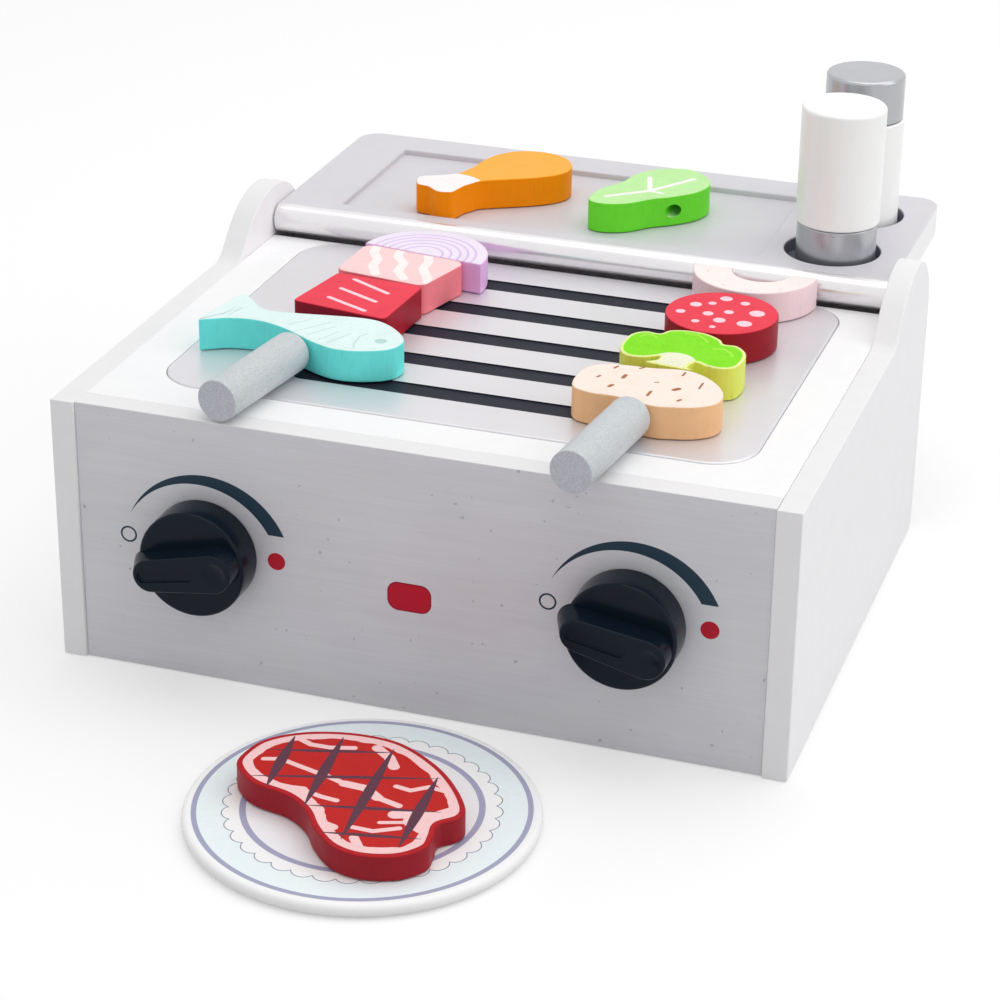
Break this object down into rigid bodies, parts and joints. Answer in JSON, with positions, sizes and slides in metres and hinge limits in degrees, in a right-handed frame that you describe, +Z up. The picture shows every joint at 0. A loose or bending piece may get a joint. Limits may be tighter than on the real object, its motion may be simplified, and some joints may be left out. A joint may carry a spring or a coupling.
{
  "type": "wooden toy barbecue grill",
  "caption": "Wooden toy barbecue grill: box with a grooved plate, turning knobs, a hinged shelf with shakers, food on skewers, and a plate with a steak.",
  "frame": {"origin": "Centre of the bounding box at floor level, under the middle of the whole set.", "axes": "X to the right as seen by the child who uses the grill, Y from the plate in front towards the shelf at the back, Z up."},
  "size_m": [0.27, 0.4126, 0.1712],
  "materials": {
    "white_paint": "satin white paint on wood",
    "silver_foil": "board faced with brushed silver foil",
    "bare_board": "unpainted wood",
    "zinc_steel": "zinc-plated steel",
    "shelf_paint": "pale grey satin paint on wood",
    "silver_paint": "silver paint on wood",
    "black_plastic": "satin black plastic",
    "fish_paint": "pale turquoise paint on wood",
    "meat_paint": "red paint on wood",
    "bacon_paint": "pink paint on wood",
    "onion_paint": "lilac paint on wood",
    "bread_paint": "bread-coloured paint on wood",
    "broccoli_paint": "bright green paint on wood",
    "salami_paint": "red paint on wood",
    "squid_paint": "pale pink paint on wood",
    "chicken_paint": "orange paint on wood",
    "pepper_paint": "green paint on wood",
    "dish_paint": "white and pale blue paint on wood",
    "steak_paint": "dark red paint on wood"
  },
  "bodies": {
    "grill": {"side_panel_left": "white_paint", "side_panel_right": "white_paint", "front_panel": "silver_foil", "back_panel": "white_paint", "bottom_panel": "bare_board", "top_panel": "white_paint", "grill_plate": "silver_foil", "dowel_front_left_low": "bare_board", "dowel_front_left_high": "bare_board", "dowel_back_left_low": "bare_board", "dowel_back_left_high": "bare_board", "dowel_front_right_low": "bare_board", "dowel_front_right_high": "bare_board", "dowel_back_right_low": "bare_board", "dowel_back_right_high": "bare_board", "hinge_pin_left": "zinc_steel", "hinge_pin_right": "zinc_steel"},
    "shelf": {"shelf_board": "shelf_paint"},
    "front_shaker": {"shaker_body_front": "white_paint", "shaker_cap_front": "silver_paint"},
    "rear_shaker": {"shaker_body_rear": "white_paint", "shaker_cap_rear": "silver_paint"},
    "shelf_chicken": {"chicken_leg": "chicken_paint"},
    "shelf_pepper": {"pepper": "pepper_paint"},
    "left_knob": {"knob_left": "black_plastic", "knob_washer_left": "zinc_steel", "knob_screw_left": "zinc_steel"},
    "right_knob": {"knob_right": "black_plastic", "knob_washer_right": "zinc_steel", "knob_screw_right": "zinc_steel"},
    "left_row": {"fish": "fish_paint", "meat_block": "meat_paint", "bacon": "bacon_paint", "onion": "onion_paint"},
    "left_skewer": {"skewer_handle_left": "silver_paint", "skewer_rod_left": "zinc_steel"},
    "right_row": {"bread": "bread_paint", "broccoli": "broccoli_paint", "salami": "salami_paint", "squid_ring": "squid_paint"},
    "right_skewer": {"skewer_handle_right": "silver_paint", "skewer_rod_right": "zinc_steel"},
    "serving_plate": {"plate": "dish_paint"},
    "served_steak": {"steak": "steak_paint"}
  },
  "joints": [
    {"name": "shelf_hinge", "type": "hinge", "parent": "grill", "child": "shelf", "pos_m": [0, 0.10895, 0.1068], "axis": [1, 0, 0], "range_deg": [0, 60]},
    {"name": "front_shaker_lift", "type": "slide", "parent": "shelf", "child": "front_shaker", "axis": [0, 0, 1], "range_m": [0, 0.03]},
    {"name": "rear_shaker_lift", "type": "slide", "parent": "shelf", "child": "rear_shaker", "axis": [0, 0, 1], "range_m": [0, 0.03]},
    {"name": "chicken_lift", "type": "slide", "parent": "shelf", "child": "shelf_chicken", "axis": [0, 0, 1], "range_m": [0, 0.03]},
    {"name": "pepper_lift", "type": "slide", "parent": "shelf", "child": "shelf_pepper", "axis": [0, 0, 1], "range_m": [0, 0.03]},
    {"name": "left_knob_turn", "type": "hinge", "parent": "grill", "child": "left_knob", "pos_m": [-0.07776, -0.07595, 0.05065], "axis": [0, -1, 0], "continuous": true},
    {"name": "right_knob_turn", "type": "hinge", "parent": "grill", "child": "right_knob", "pos_m": [0.07776, -0.07595, 0.05065], "axis": [0, -1, 0], "continuous": true},
    {"name": "left_row_slide", "type": "slide", "parent": "grill", "child": "left_row", "axis": [-0.1392, -0.9903, 0], "range_m": [0, 0.05]},
    {"name": "left_skewer_draw", "type": "slide", "parent": "left_row", "child": "left_skewer", "axis": [-0.1392, -0.9903, 0], "range_m": [0, 0.11]},
    {"name": "right_row_slide", "type": "slide", "parent": "grill", "child": "right_row", "axis": [-0.1115, -0.9938, 0], "range_m": [0, 0.05]},
    {"name": "right_skewer_draw", "type": "slide", "parent": "right_row", "child": "right_skewer", "axis": [-0.1115, -0.9938, 0], "range_m": [0, 0.11]},
    {"name": "plate_lift", "type": "slide", "parent": "grill", "child": "serving_plate", "axis": [0, 0, 1], "range_m": [0, 0.05]},
    {"name": "steak_lift", "type": "slide", "parent": "serving_plate", "child": "served_steak", "axis": [0, 0, 1], "range_m": [0, 0.025]}
  ]
}
